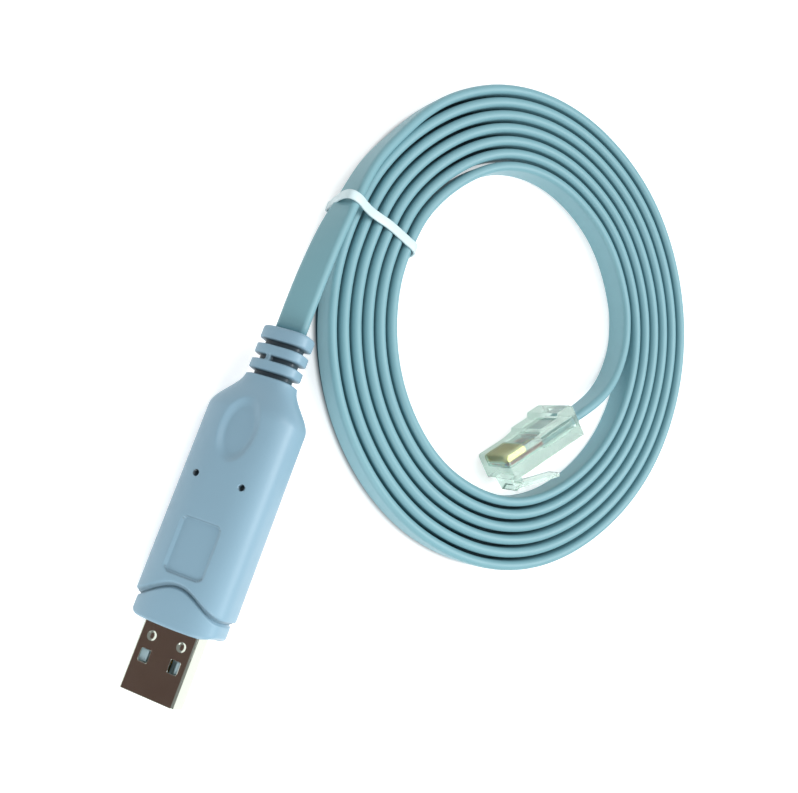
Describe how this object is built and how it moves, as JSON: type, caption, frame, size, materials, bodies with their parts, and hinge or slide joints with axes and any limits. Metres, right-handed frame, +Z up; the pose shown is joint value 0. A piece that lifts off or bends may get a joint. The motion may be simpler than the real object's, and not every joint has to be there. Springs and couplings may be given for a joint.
{
  "type": "rj45 console cable",
  "caption": "flat pale blue console cable coiled on its edge, with a chunky USB-A adapter at one end, a clear modular plug at the other and a white twist tie",
  "frame": {"origin": "on the floor, under the middle of the USB adapter and its plug", "axes": "+Z up, +Y along the adapter from its plug towards the cable, +X towards the coil"},
  "size_m": [0.1131, 0.1543, 0.0188],
  "materials": {
    "housing_blue": "satin moulded plastic, pale blue",
    "shell_steel": "plain stamped steel",
    "tongue_plastic": "matte moulded insulator",
    "contact_gold": "thin gold plating",
    "jacket_blue": "smooth satin cable jacket, pale blue",
    "clear_plastic": "clear moulded polycarbonate",
    "wire_brown": "wire insulation, brown",
    "wire_blue": "wire insulation, blue",
    "wire_yellow": "wire insulation, yellow",
    "wire_green": "wire insulation, green",
    "wire_red": "wire insulation, red",
    "wire_black": "wire insulation, black",
    "wire_orange": "wire insulation, orange",
    "wire_grey": "wire insulation, pale grey",
    "tie_white": "white coated tie"
  },
  "bodies": {
    "root": {"adapter_housing": "housing_blue", "usb_shell": "shell_steel", "usb_tongue": "tongue_plastic", "usb_contact_1": "contact_gold", "usb_contact_2": "contact_gold", "usb_contact_3": "contact_gold", "usb_contact_4": "contact_gold", "cable_lead": "jacket_blue", "cable_coil": "jacket_blue", "cable_tail": "jacket_blue", "modular_plug_body": "clear_plastic", "plug_blade_1": "contact_gold", "plug_blade_2": "contact_gold", "plug_blade_3": "contact_gold", "plug_blade_4": "contact_gold", "plug_blade_5": "contact_gold", "plug_blade_6": "contact_gold", "plug_blade_7": "contact_gold", "plug_blade_8": "contact_gold", "plug_wire_1": "wire_brown", "plug_wire_2": "wire_blue", "plug_wire_3": "wire_yellow", "plug_wire_4": "wire_green", "plug_wire_5": "wire_red", "plug_wire_6": "wire_black", "plug_wire_7": "wire_orange", "plug_wire_8": "wire_grey", "twist_tie": "tie_white"}
  },
  "joints": []
}
